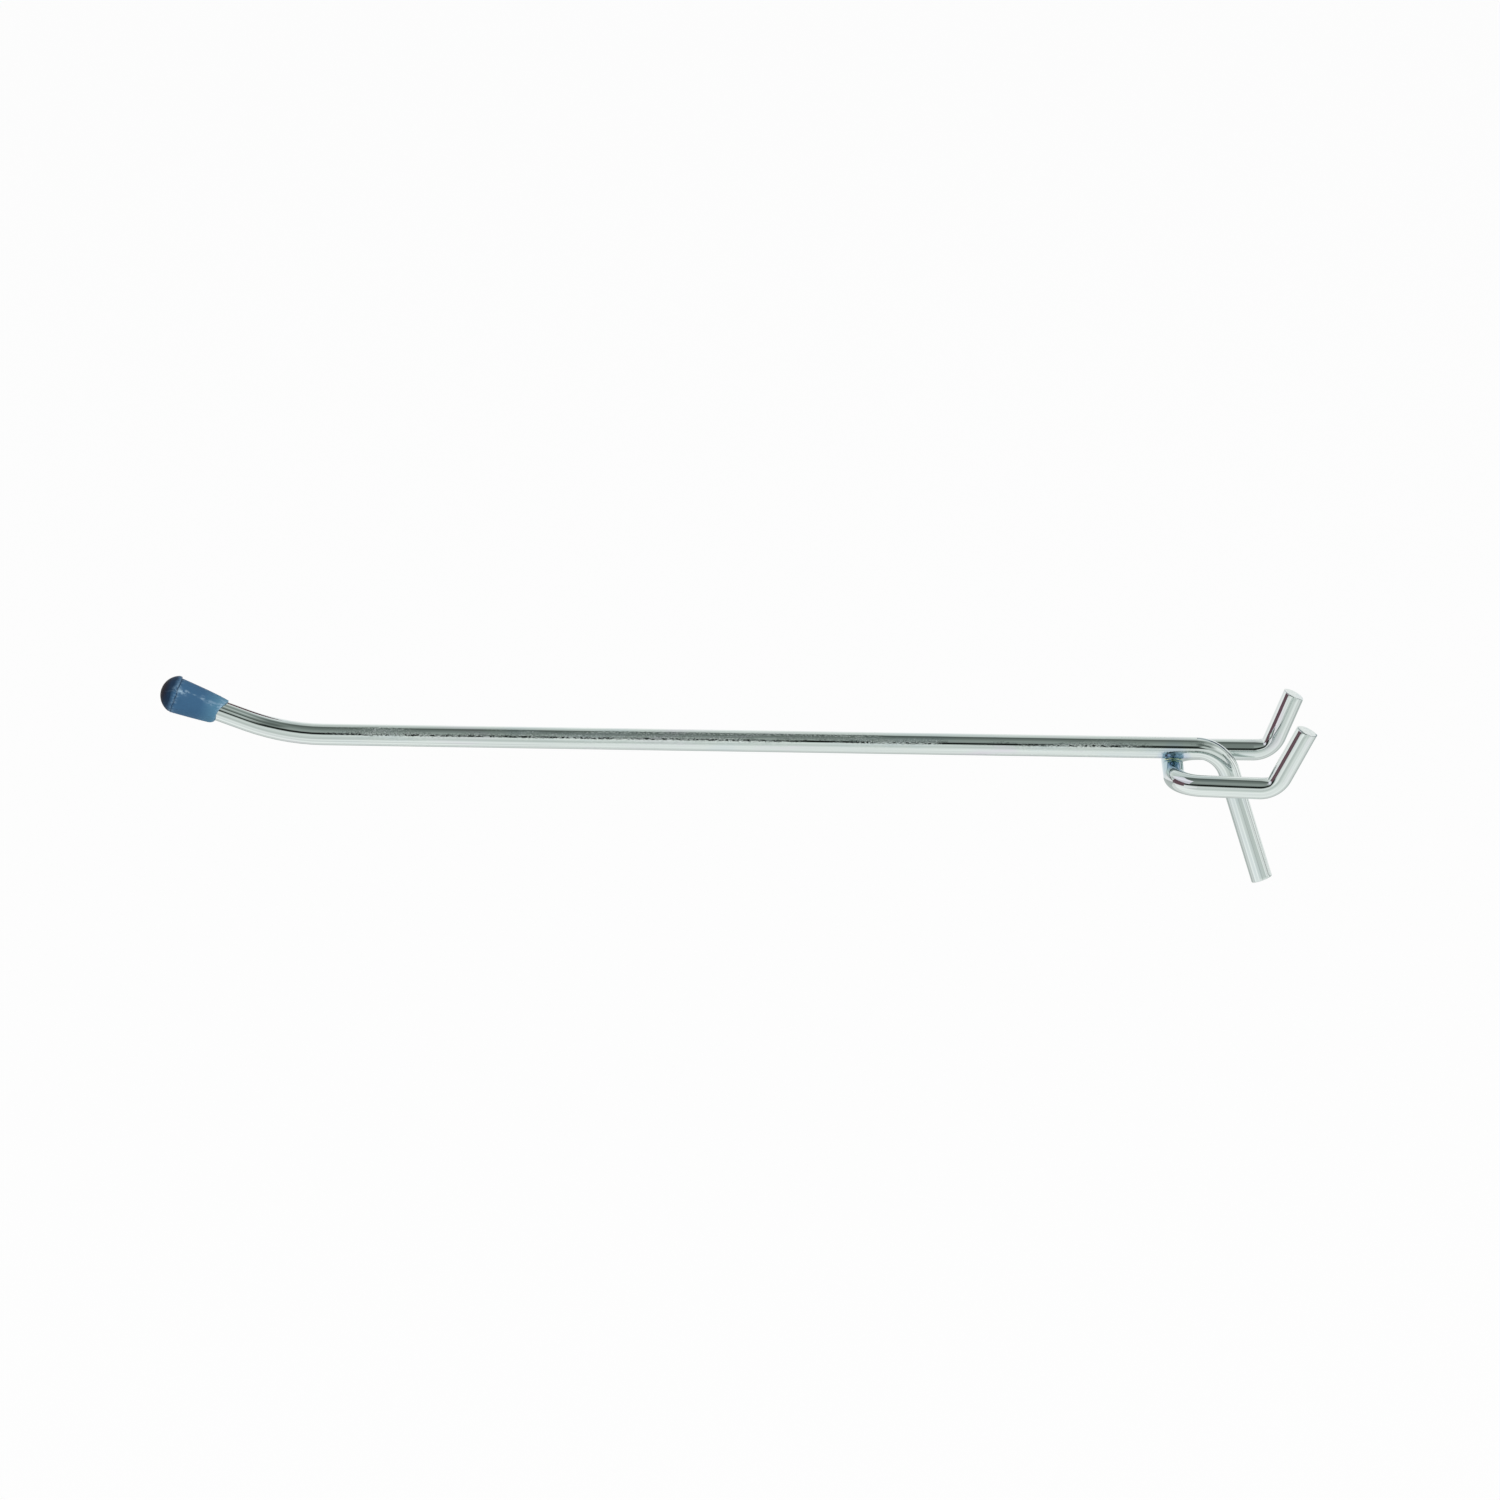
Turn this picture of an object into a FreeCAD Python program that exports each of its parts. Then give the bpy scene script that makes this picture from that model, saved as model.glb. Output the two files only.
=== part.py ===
import FreeCAD, Part
import math
import os

import Sketcher

# Pegboard hook in millimetres, built from two round wires that cross.
# The long prong lies on the crossbar of a U-shaped staple and is welded to it.
# The staple's two legs go through the board and turn up behind it as pegs.
# The prong's rear end turns down as a brace that rests on the board below.
# A moulded cap covers the upturned tip.
#
# Frame: X runs towards the board, Y across the two pegs, Z up.
# The origin lies midway between the legs, on their axes, where the pegs turn up.

# Driving dimensions, in millimetres and degrees.
# "Near" is the side of negative Y and "far" the side of positive Y.
DIMENSIONS = {
    "wire_diameter": 4.8,
    # Staple
    "leg_reach": 18.4,
    "peg_spacing": 25.4,
    "corner_radius": 6.5,
    "near_splay": 4.0,
    "far_splay": 1.0,
    "peg_bend_radius": 5.4,
    "near_peg_angle": 64.3,
    "far_peg_angle": 69.3,
    "near_peg_rise": 13.8,
    "far_peg_rise": 13.3,
    # Prong
    "weld_set_down": 0.1,
    "front_run": 188.8,
    "tip_radius": 49.1,
    "tip_angle": 20.2,
    "tip_run": 15.85,
    "rear_run": 4.9,
    "rear_radius": 8.0,
    "rear_angle": 72.0,
    "brace_run": 26.55,
    # Weld bead
    "bead_waist_diameter": 3.6,
    "bead_height": 2.8,
    "bead_hollow_radius": 2.2,
    # Cap, measured along the tip from the end of the wire
    "dome_base_set_back": 1.45,
    "dome_height": 3.1,
    "dome_band": 0.5,
    "dome_diameter": 8.2,
    "dome_lift": 0.15,
    "skirt_reach": 9.4,
    "skirt_diameter": 8.0,
    "skirt_taper": 5.2,
    "skirt_sag": 0.1,
    "mouth_slant": 24.5,
}

# Expressions that several features share
PRONG_HEIGHT = "(sheet.wire_diameter - sheet.weld_set_down)"


def make_sheet(doc):
    """Writes the driving dimensions to a sheet, one aliased cell each."""
    sheet = doc.addObject("Spreadsheet::Sheet", "sheet")
    for row, (alias, size) in enumerate(DIMENSIONS.items(), start=1):
        cell = f"A{row}"
        sheet.set(cell, str(size))
        sheet.setAlias(cell, alias)
    doc.recompute()
    return sheet


def value(sheet, expression):
    """Returns the number that an expression gives with the sheet's present cells."""
    return float(sheet.evalExpression(expression))


def make_body(doc, name):
    body = doc.addObject("PartDesign::Body", name)
    body.Label = name
    return body


def make_sketch(body, name, plane, offset=None, turn=None):
    """Adds a sketch on one of the body's origin planes.

    offset maps x, y or z of the plane's own axes to an expression.
    turn is an axis of the plane and the expression of the angle about it.
    """
    sketch = body.newObject("Sketcher::SketchObject", name)
    support = next(item for item in body.Origin.OriginFeatures if item.Role == plane)
    sketch.AttachmentSupport = [(support, "")]
    sketch.MapMode = "FlatFace"
    for axis, expression in (offset or {}).items():
        sketch.setExpression(f"AttachmentOffset.Base.{axis}", expression)
    if turn:
        axis, expression = turn
        sketch.AttachmentOffset = FreeCAD.Placement(FreeCAD.Vector(), FreeCAD.Rotation(axis, 0))
        sketch.setExpression("AttachmentOffset.Rotation.Angle", expression)
    return sketch


def bind(sketch, constraint, name, expression):
    """Adds a constraint and ties its size to an expression."""
    index = sketch.addConstraint(constraint)
    sketch.renameConstraint(index, name)
    sketch.setExpression(f"Constraints.{name}", expression)


def along(heading, distance):
    """Returns the step of a given length in a direction in degrees."""
    angle = math.radians(heading)
    return FreeCAD.Vector(math.cos(angle), math.sin(angle), 0) * distance


def add_run(sketch, sheet, place, heading, name, length):
    """Adds a straight run. Returns its index, its two ends, and where it stops."""
    size = value(sheet, length)
    stop = place + along(heading, size)
    edge = sketch.addGeometry(Part.LineSegment(place, stop), False)
    bind(sketch, Sketcher.Constraint("Distance", edge, size), name, length)
    return edge, (1, 2), stop, heading


def add_bend(sketch, sheet, place, heading, name, radius, angle, side):
    """Adds a bend to the left (side 1) or to the right (side -1)."""
    size = value(sheet, radius)
    turn = value(sheet, angle)
    centre = place + along(heading + 90 * side, size)
    first = heading - 90 * side
    last = first + turn * side
    circle = Part.Circle(centre, FreeCAD.Vector(0, 0, 1), size)
    limits = sorted((math.radians(first), math.radians(last)))
    edge = sketch.addGeometry(Part.ArcOfCircle(circle, *limits), False)
    bind(sketch, Sketcher.Constraint("Radius", edge, size), name + "_radius", radius)
    bind(sketch, Sketcher.Constraint("Angle", edge, math.radians(turn)), name + "_angle", angle)
    ends = (1, 2) if side > 0 else (2, 1)
    return edge, ends, centre + along(last, size), heading + turn * side


def draw_path(sketch, sheet, heading, steps):
    """Draws a wire's centre line from the sketch's origin as tangent runs and bends.

    Each step is (name, "run", length) or (name, "left" or "right", radius, angle).
    """
    place = FreeCAD.Vector()
    previous = None
    for name, kind, *sizes in steps:
        if kind == "run":
            edge, ends, place, heading = add_run(sketch, sheet, place, heading, name, *sizes)
        else:
            side = 1 if kind == "left" else -1
            edge, ends, place, heading = add_bend(sketch, sheet, place, heading, name, *sizes, side)
        if previous is None:
            start_path(sketch, edge, ends[0], kind, heading)
        else:
            sketch.addConstraint(Sketcher.Constraint("Tangent", *previous, edge, ends[0]))
        previous = (edge, ends[1])


def start_path(sketch, edge, end, kind, heading):
    """Fixes the first edge to the sketch's origin and gives it its direction."""
    sketch.addConstraint(Sketcher.Constraint("Coincident", edge, end, -1, 1))
    if kind != "run":
        # The bend leaves along the sketch's X axis, so its centre is straight above
        sketch.addConstraint(Sketcher.Constraint("Vertical", -1, 1, edge, 3))
    elif heading % 180 == 0:
        sketch.addConstraint(Sketcher.Constraint("Horizontal", edge))
    else:
        sketch.addConstraint(Sketcher.Constraint("Vertical", edge))


def draw_wire_section(sketch, sheet):
    """Draws the wire's round section about the sketch's origin."""
    diameter = "sheet.wire_diameter"
    size = value(sheet, diameter)
    circle = Part.Circle(FreeCAD.Vector(), FreeCAD.Vector(0, 0, 1), size / 2)
    edge = sketch.addGeometry(circle, False)
    sketch.addConstraint(Sketcher.Constraint("Coincident", edge, 3, -1, 1))
    bind(sketch, Sketcher.Constraint("Diameter", edge, size), "diameter", diameter)


def sweep(body, name, section, path):
    """Sweeps a section along a path that leaves it at a right angle."""
    pipe = body.newObject("PartDesign::AdditivePipe", name)
    pipe.Profile = section
    pipe.Spine = (path, [f"Edge{number + 1}" for number in range(len(path.Geometry))])
    section.Visibility = False
    path.Visibility = False


def cut_through(body, name, section):
    """Cuts a sketch's outline out of the body, both ways from the sketch's plane."""
    pocket = body.newObject("PartDesign::Pocket", name)
    pocket.Profile = section
    pocket.Type = "ThroughAll"
    pocket.Midplane = True
    section.Visibility = False


def make_prong(doc, sheet):
    """The long wire, swept both ways from the point where it crosses the staple."""
    body = make_body(doc, "prong_wire")
    section = make_sketch(
        body, "prong_section", "YZ_Plane", {"z": "-sheet.leg_reach", "y": PRONG_HEIGHT}
    )
    draw_wire_section(section, sheet)
    crossing = {"x": "-sheet.leg_reach", "y": PRONG_HEIGHT}
    front = make_sketch(body, "prong_front_path", "XZ_Plane", crossing)
    draw_path(front, sheet, 180, [
        ("front_run", "run", "sheet.front_run"),
        ("tip", "right", "sheet.tip_radius", "sheet.tip_angle"),
        ("tip_run", "run", "sheet.tip_run"),
    ])
    rear = make_sketch(body, "prong_rear_path", "XZ_Plane", crossing)
    draw_path(rear, sheet, 0, [
        ("rear_run", "run", "sheet.rear_run"),
        ("rear", "right", "sheet.rear_radius", "sheet.rear_angle"),
        ("brace_run", "run", "sheet.brace_run"),
    ])
    doc.recompute()
    sweep(body, "prong_front", section, front)
    sweep(body, "prong_rear", section, rear)
    return body


def make_staple_side(body, sheet, section, side, name, corner_side):
    """One half of the staple: half a crossbar, a corner, a leg and its peg.

    side is -1 for the near half and 1 for the far half.
    """
    splay = f"sheet.{name}_splay"
    peg_angle = f"sheet.{name}_peg_angle"
    bar_turn = f"(90 - {splay})"
    corner_depth = f"sheet.corner_radius * (1 - sin({splay}))"
    leg_run = f"(sheet.leg_reach - {corner_depth}) / cos({splay})"
    leg_shift = f"(sheet.leg_reach - {corner_depth}) * tan({splay})"
    bar_run = f"sheet.peg_spacing / 2 - {leg_shift} - sheet.corner_radius * cos({splay})"
    bent_height = f"sheet.peg_bend_radius * (1 - cos({peg_angle}))"
    peg_run = f"(sheet.{name}_peg_rise - {bent_height}) / sin({peg_angle})"

    flat_path = make_sketch(body, f"{name}_leg_path", "XY_Plane", {"x": "-sheet.leg_reach"})
    draw_path(flat_path, sheet, 90 * side, [
        ("bar_run", "run", bar_run),
        ("corner", corner_side, "sheet.corner_radius", bar_turn),
        ("leg_run", "run", leg_run),
    ])
    upright = FreeCAD.Vector(0, 1, 0)
    peg_turn = (upright, f"{side} * {splay}")
    peg_section = make_sketch(
        body, f"{name}_peg_section", "YZ_Plane", {"x": f"{side} * sheet.peg_spacing / 2"}, peg_turn
    )
    draw_wire_section(peg_section, sheet)
    peg_path = make_sketch(
        body, f"{name}_peg_path", "XZ_Plane", {"z": f"{-side} * sheet.peg_spacing / 2"}, peg_turn
    )
    draw_path(peg_path, sheet, 0, [
        ("peg_bend", "left", "sheet.peg_bend_radius", peg_angle),
        ("peg_run", "run", peg_run),
    ])
    body.Document.recompute()
    sweep(body, f"{name}_leg", section, flat_path)
    sweep(body, f"{name}_peg", peg_section, peg_path)


def make_staple(doc, sheet):
    """The U-shaped wire, swept from the middle of its crossbar to each peg."""
    body = make_body(doc, "peg_staple")
    section = make_sketch(body, "crossbar_section", "XZ_Plane", {"x": "-sheet.leg_reach"})
    draw_wire_section(section, sheet)
    make_staple_side(body, sheet, section, -1, "near", "left")
    make_staple_side(body, sheet, section, 1, "far", "right")
    # The prong sinks a little into the crossbar where the two are welded
    saddle = make_sketch(body, "saddle_section", "YZ_Plane", {"y": PRONG_HEIGHT})
    draw_wire_section(saddle, sheet)
    doc.recompute()
    cut_through(body, "saddle", saddle)
    return body


def draw_bead_profile(sketch, sheet):
    """Half the bead's upright section: a block whose outer side is hollow."""
    waist = value(sheet, "sheet.bead_waist_diameter / 2")
    half_height = value(sheet, "sheet.bead_height / 2")
    hollow = value(sheet, "sheet.bead_hollow_radius")
    centre = FreeCAD.Vector(waist + hollow, 0, 0)
    lift = math.asin(half_height / hollow)
    rim = centre.x - hollow * math.cos(lift)
    circle = Part.Circle(centre, FreeCAD.Vector(0, 0, 1), hollow)
    corners = [
        FreeCAD.Vector(rim, half_height, 0),
        FreeCAD.Vector(0, half_height, 0),
        FreeCAD.Vector(0, -half_height, 0),
        FreeCAD.Vector(rim, -half_height, 0),
    ]
    arc = sketch.addGeometry(Part.ArcOfCircle(circle, math.pi - lift, math.pi + lift), False)
    top, axis, bottom = [
        sketch.addGeometry(Part.LineSegment(start, stop), False)
        for start, stop in zip(corners, corners[1:])
    ]
    sketch.addConstraint([
        Sketcher.Constraint("Coincident", arc, 1, top, 1),
        Sketcher.Constraint("Coincident", top, 2, axis, 1),
        Sketcher.Constraint("Coincident", axis, 2, bottom, 1),
        Sketcher.Constraint("Coincident", bottom, 2, arc, 2),
        Sketcher.Constraint("Horizontal", top),
        Sketcher.Constraint("Horizontal", bottom),
        Sketcher.Constraint("PointOnObject", axis, 1, -2),
        Sketcher.Constraint("Symmetric", axis, 1, axis, 2, -1, 1),
        Sketcher.Constraint("PointOnObject", arc, 3, -1),
    ])
    bind(sketch, Sketcher.Constraint("Distance", axis, 2 * half_height), "rise", "sheet.bead_height")
    bind(sketch, Sketcher.Constraint("Radius", arc, hollow), "hollow", "sheet.bead_hollow_radius")
    bind(sketch, Sketcher.Constraint("DistanceX", -1, 1, arc, 3, centre.x), "reach",
         "sheet.bead_waist_diameter / 2 + sheet.bead_hollow_radius")


def make_bead(doc, sheet):
    """The weld metal squeezed out between the prong and the crossbar."""
    body = make_body(doc, "weld_bead")
    middle = f"{PRONG_HEIGHT} / 2"
    profile = make_sketch(body, "bead_profile", "XZ_Plane", {"x": "-sheet.leg_reach", "y": middle})
    draw_bead_profile(profile, sheet)
    prong = make_sketch(body, "bead_prong_section", "YZ_Plane", {"y": PRONG_HEIGHT})
    draw_wire_section(prong, sheet)
    crossbar = make_sketch(body, "bead_crossbar_section", "XZ_Plane", {"x": "-sheet.leg_reach"})
    draw_wire_section(crossbar, sheet)
    doc.recompute()
    block = body.newObject("PartDesign::Revolution", "bead_block")
    block.Profile = profile
    block.ReferenceAxis = (profile, ["V_Axis"])
    block.Angle = 360
    profile.Visibility = False
    doc.recompute()
    cut_through(body, "bead_prong_cut", prong)
    cut_through(body, "bead_crossbar_cut", crossbar)
    return body


def draw_closed(sketch, corners):
    """Draws a closed outline of straight lines. Returns their indices in order."""
    count = len(corners)
    lines = [
        sketch.addGeometry(Part.LineSegment(corners[index], corners[(index + 1) % count]), False)
        for index in range(count)
    ]
    for index, line in enumerate(lines):
        following = lines[(index + 1) % count]
        sketch.addConstraint(Sketcher.Constraint("Coincident", line, 2, following, 1))
    return lines


def draw_skirt_profile(sketch, sheet):
    """Half the skirt's section: it narrows from the dome to past the mouth."""
    length_rule = "sheet.dome_base_set_back + sheet.skirt_reach + sheet.wire_diameter / 2"
    length = value(sheet, length_rule)
    radius = value(sheet, "sheet.skirt_diameter / 2")
    taper = value(sheet, "sheet.skirt_taper")
    end_radius = radius - length * math.tan(math.radians(taper))
    axis, end, slope, base = draw_closed(sketch, [
        FreeCAD.Vector(0, 0, 0),
        FreeCAD.Vector(length, 0, 0),
        FreeCAD.Vector(length, end_radius, 0),
        FreeCAD.Vector(0, radius, 0),
    ])
    sketch.addConstraint([
        Sketcher.Constraint("Coincident", axis, 1, -1, 1),
        Sketcher.Constraint("Horizontal", axis),
        Sketcher.Constraint("Vertical", end),
        Sketcher.Constraint("Vertical", base),
    ])
    bind(sketch, Sketcher.Constraint("Distance", axis, length), "length", length_rule)
    bind(sketch, Sketcher.Constraint("Distance", base, radius), "radius", "sheet.skirt_diameter / 2")
    bind(sketch, Sketcher.Constraint("Angle", slope, 1, axis, 2, math.radians(taper)), "taper",
         "sheet.skirt_taper")


def draw_dome_profile(sketch, sheet):
    """Half the dome's section: a short band, then an arc to the crown."""
    band = value(sheet, "sheet.dome_band")
    radius = value(sheet, "sheet.dome_diameter / 2")
    rise = value(sheet, "sheet.dome_height")
    ball = (radius ** 2 + rise ** 2) / (2 * rise)
    centre = FreeCAD.Vector(ball - rise, 0, 0)
    rim = math.atan2(radius, -centre.x)
    circle = Part.Circle(centre, FreeCAD.Vector(0, 0, 1), ball)
    crown = sketch.addGeometry(Part.ArcOfCircle(circle, rim, math.pi), False)
    corners = [
        FreeCAD.Vector(-rise, 0, 0),
        FreeCAD.Vector(band, 0, 0),
        FreeCAD.Vector(band, radius, 0),
        FreeCAD.Vector(0, radius, 0),
    ]
    axis, base, edge = [
        sketch.addGeometry(Part.LineSegment(start, stop), False)
        for start, stop in zip(corners, corners[1:])
    ]
    sketch.addConstraint([
        Sketcher.Constraint("Coincident", crown, 2, axis, 1),
        Sketcher.Constraint("Coincident", axis, 2, base, 1),
        Sketcher.Constraint("Coincident", base, 2, edge, 1),
        Sketcher.Constraint("Coincident", edge, 2, crown, 1),
        Sketcher.Constraint("PointOnObject", axis, 1, -1),
        Sketcher.Constraint("PointOnObject", axis, 2, -1),
        Sketcher.Constraint("PointOnObject", crown, 3, -1),
        Sketcher.Constraint("PointOnObject", edge, 2, -2),
        Sketcher.Constraint("Vertical", base),
        Sketcher.Constraint("Horizontal", edge),
    ])
    bind(sketch, Sketcher.Constraint("Distance", edge, band), "band", "sheet.dome_band")
    bind(sketch, Sketcher.Constraint("Distance", base, radius), "radius", "sheet.dome_diameter / 2")
    bind(sketch, Sketcher.Constraint("DistanceX", axis, 1, -1, 1, rise), "rise", "sheet.dome_height")


def draw_mouth_cut(sketch, sheet):
    """A block that starts at the sketch's Y axis and takes away all beyond it."""
    size_rule = "sheet.skirt_diameter"
    size = value(sheet, size_rule)
    bottom, right, top, left = draw_closed(sketch, [
        FreeCAD.Vector(0, -size, 0),
        FreeCAD.Vector(size, -size, 0),
        FreeCAD.Vector(size, size, 0),
        FreeCAD.Vector(0, size, 0),
    ])
    sketch.addConstraint([
        Sketcher.Constraint("Horizontal", bottom),
        Sketcher.Constraint("Horizontal", top),
        Sketcher.Constraint("Vertical", right),
        Sketcher.Constraint("Symmetric", left, 1, left, 2, -1, 1),
        Sketcher.Constraint("PointOnObject", left, 1, -2),
    ])
    bind(sketch, Sketcher.Constraint("Distance", bottom, size), "depth", size_rule)
    bind(sketch, Sketcher.Constraint("Distance", left, 2 * size), "width", f"2 * {size_rule}")


def turn_about_own_axis(body, name, profile):
    """Revolves a profile about its sketch's X axis."""
    feature = body.newObject("PartDesign::Revolution", name)
    feature.Profile = profile
    feature.ReferenceAxis = (profile, ["H_Axis"])
    feature.Angle = 360
    profile.Visibility = False


def make_cap(doc, sheet):
    """The moulded cap. Its own frame starts at the wire's end, with X towards the prong."""
    body = make_body(doc, "tip_cap")
    base_place = "-sheet.dome_base_set_back"
    skirt_profile = make_sketch(
        body, "skirt_profile", "XZ_Plane", {"x": base_place, "y": "-sheet.skirt_sag"}
    )
    draw_skirt_profile(skirt_profile, sheet)
    dome_profile = make_sketch(
        body, "dome_profile", "XZ_Plane", {"x": base_place, "y": "sheet.dome_lift"}
    )
    draw_dome_profile(dome_profile, sheet)
    bore_section = make_sketch(body, "bore_section", "YZ_Plane")
    draw_wire_section(bore_section, sheet)
    across = FreeCAD.Vector(0, 0, 1)
    mouth_section = make_sketch(
        body, "mouth_section", "XZ_Plane", {"x": "sheet.skirt_reach"}, (across, "-sheet.mouth_slant")
    )
    draw_mouth_cut(mouth_section, sheet)
    doc.recompute()
    turn_about_own_axis(body, "skirt", skirt_profile)
    doc.recompute()
    turn_about_own_axis(body, "dome", dome_profile)
    doc.recompute()
    cut_through(body, "mouth", mouth_section)
    bore = body.newObject("PartDesign::Pocket", "bore")
    bore.Profile = bore_section
    bore.Type = "ThroughAll"
    bore.Reversed = True
    bore_section.Visibility = False
    place_cap(body)
    return body


def place_cap(body):
    """Puts the cap's frame at the end of the prong's wire, turned with the tip."""
    run = "sheet.leg_reach + sheet.front_run"
    body.Placement = FreeCAD.Placement(FreeCAD.Vector(), FreeCAD.Rotation(FreeCAD.Vector(0, 1, 0), 0))
    body.setExpression(
        "Placement.Base.x",
        f"-({run} + sheet.tip_radius * sin(sheet.tip_angle) + sheet.tip_run * cos(sheet.tip_angle))",
    )
    body.setExpression(
        "Placement.Base.z",
        f"{PRONG_HEIGHT} + sheet.tip_radius * (1 - cos(sheet.tip_angle))"
        " + sheet.tip_run * sin(sheet.tip_angle)",
    )
    body.setExpression("Placement.Rotation.Angle", "sheet.tip_angle")


def check(doc, bodies):
    """Stops the build if a feature failed or a body is not one valid solid."""
    for item in doc.Objects:
        if {"Invalid", "Error"} & set(item.State):
            raise RuntimeError(f"{item.Label} did not compute")
    for body in bodies:
        shape = body.Shape
        if shape.isNull() or not shape.isValid() or len(shape.Solids) != 1:
            raise RuntimeError(f"{body.Label} is not one valid solid")


def main():
    os.makedirs("parts", exist_ok=True)
    doc = FreeCAD.newDocument("pegboard_hook")
    sheet = make_sheet(doc)
    bodies = [make(doc, sheet) for make in (make_prong, make_staple, make_bead, make_cap)]
    doc.recompute()
    check(doc, bodies)
    for body in bodies:
        body.Shape.exportStep(f"parts/{body.Label}.step")


main()
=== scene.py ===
import math

import bpy
from mathutils import Matrix, Vector, noise


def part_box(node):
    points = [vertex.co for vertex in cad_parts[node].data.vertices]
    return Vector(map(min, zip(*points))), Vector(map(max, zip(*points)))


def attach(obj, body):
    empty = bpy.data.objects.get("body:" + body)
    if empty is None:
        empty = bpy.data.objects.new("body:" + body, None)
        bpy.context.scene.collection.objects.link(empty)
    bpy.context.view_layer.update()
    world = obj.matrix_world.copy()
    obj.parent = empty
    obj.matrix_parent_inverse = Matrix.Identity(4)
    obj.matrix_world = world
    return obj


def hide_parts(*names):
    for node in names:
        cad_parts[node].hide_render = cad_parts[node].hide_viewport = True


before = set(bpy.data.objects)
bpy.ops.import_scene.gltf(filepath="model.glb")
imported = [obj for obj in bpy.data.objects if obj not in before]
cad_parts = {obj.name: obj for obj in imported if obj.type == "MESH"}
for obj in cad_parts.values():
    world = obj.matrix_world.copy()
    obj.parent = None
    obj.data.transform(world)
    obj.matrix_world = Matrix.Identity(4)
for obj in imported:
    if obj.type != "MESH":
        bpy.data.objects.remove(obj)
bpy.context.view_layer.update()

# Pegboard hook: two bright zinc-plated wires welded where they cross, and a blue moulded cap.
# Sizes are in millimetres and degrees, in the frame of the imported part:
# X towards the board, Y across the pegs (negative is near the camera), Z up.
MM = 0.001

X = Vector((1, 0, 0))
Y = Vector((0, 1, 0))
Z = Vector((0, 0, 1))

# Wire and staple
WIRE_RADIUS = (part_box("prong_wire")[1].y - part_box("prong_wire")[0].y) / 2 / MM
LEG_REACH = -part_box("peg_staple")[0].x / MM - WIRE_RADIUS
PEG_SPACING = 25.4
CORNER_RADIUS = 6.5
SPLAY = {"near": 4.0, "far": 1.0}
PEG_BEND_RADIUS = 5.4
PEG_ANGLE = {"near": 64.3, "far": 69.3}
PEG_RISE = {"near": 13.8, "far": 13.3}

# Prong
PRONG_HEIGHT = 4.7
FRONT_RUN = 188.8
TIP_RADIUS = 49.1
TIP_ANGLE = 20.2
TIP_RUN = 15.85
REAR_RUN = 4.9
REAR_RADIUS = 8.0
REAR_ANGLE = 72.0
BRACE_RUN = 26.55

# Mesh fineness
RING_POINTS = 96
RUN_STEP = 1.2
BEND_STEP = 3.0
FOLD_STEP = 1.5
SHARP_EDGE = 50.0

# Drawn wire is never quite true: it swells and shrinks a little along its length
WIRE_WANDER = 0.012
WANDER_LENGTH = 9.0

# Sheared ends: where the burr stands, and how far the cut leans towards it
NEAR_PEG_END = (270, 2.0)
FAR_PEG_END = (90, 3.5)
BRACE_END = (20, 9.0)
TIP_END = (0, 3.0)
EDGE_ROUND = 0.2
EDGE_RINGS = 5
FACE_RINGS = 12
SHEAR_ROLL_OVER = 0.12
SHEAR_ROLL_SPREAD = 8
BURR_HEIGHT = 0.3
BURR_SPREAD = 24.0
BURR_WALL = 20
SHEAR_LUMPS = 0.008
SHEAR_LUMP_RATE = 3

# Weld: metal squeezed out between the two wires
WELD_REACH = 1.75
WELD_WAIST = 0.3
WELD_STRETCH = 1.24
WELD_WOBBLE = 0.16
WELD_LUMPS = 2.2
WELD_LAYERS = 1.5
WELD_POINTS = 120
WELD_RINGS = 24
WELD_SINK = 0.05

# Cap, measured along the tip from the wire's end towards the prong
CAP_POINTS = 160
DOME_BASE = -1.45
DOME_HEIGHT = 2.93
DOME_RADIUS = 4.1
DOME_BAND = 0.5
DOME_LIFT = 0.15
DOME_RINGS = 30
# The band below the dome: how far along it each ring stands, and how far in from the edge
BAND_RINGS = ((0.3, 0.0), (0.6, 0.0), (0.85, 0.02), (1.0, 0.1))
SKIRT_BASE_RADIUS = 4.03
SKIRT_MOUTH_RADIUS = 2.66
SKIRT_SWELL = 0.62
SKIRT_FULL_LENGTH = 12.3
SKIRT_SAG = 0.1
SKIRT_RINGS = 70
MOUTH_RINGS = 6
MOUTH_REACH = 9.25
MOUTH_SLANT = 1.35
MOUTH_TURN = -30.0
MOUTH_WAVE = 0.16
MOUTH_WAVE_RATE = 1.8
MOUTH_WAVE_LAYER = 5.4
MOUTH_LIP = 0.16
HEEL_REACH = 1.2
HEEL_REACH_TURN = 140.0
HEEL_REACH_SPREAD = 46.0
HEEL_ROUNDING = 1.4
HEEL_ROUNDING_TURN = 163.0
HEEL_ROUNDING_SPREAD = 38.0
BORE_DEPTH = 0.6
BORE_BITE = 0.02
SEAM = DOME_BASE + DOME_BAND
SEAM_WAVE = 0.3
SEAM_WAVE_RATE = 3.2
SEAM_WAVE_LAYER = 1.7
SEAM_GROOVE = 0.16
SEAM_OPENING = 0.1
# The near side was pressed flat, which left a low ridge round the flat
FLAT_TURN = 97.0
FLAT_DISTANCE = 3.72
FLAT_RIDGE = 0.05
FLAT_RIDGE_WIDTH = 0.12

# Wear on the cap
SEAM_WEAR = 0.4
SEAM_WEAR_WIDTH = 0.55
MOUTH_WEAR = 0.48
MOUTH_WEAR_WIDTH = 0.45
# Painted shade darkens the seam's groove: its width and strength
GROOVE_WIDTH = 0.15
GROOVE_SHADE = 0.5
# Scuffs: place along the tip, turn, length, width in degrees and strength
SCUFFS = (
    (-0.3, 55, 1.2, 8, 1.0),
    (0.9, 46, 0.6, 5, 0.5),
    (4.8, 47, 0.45, 9, 0.6),
    (7.4, 53, 1.3, 8, 0.8),
    (9.3, 40, 0.7, 25, 0.7),
)
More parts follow.
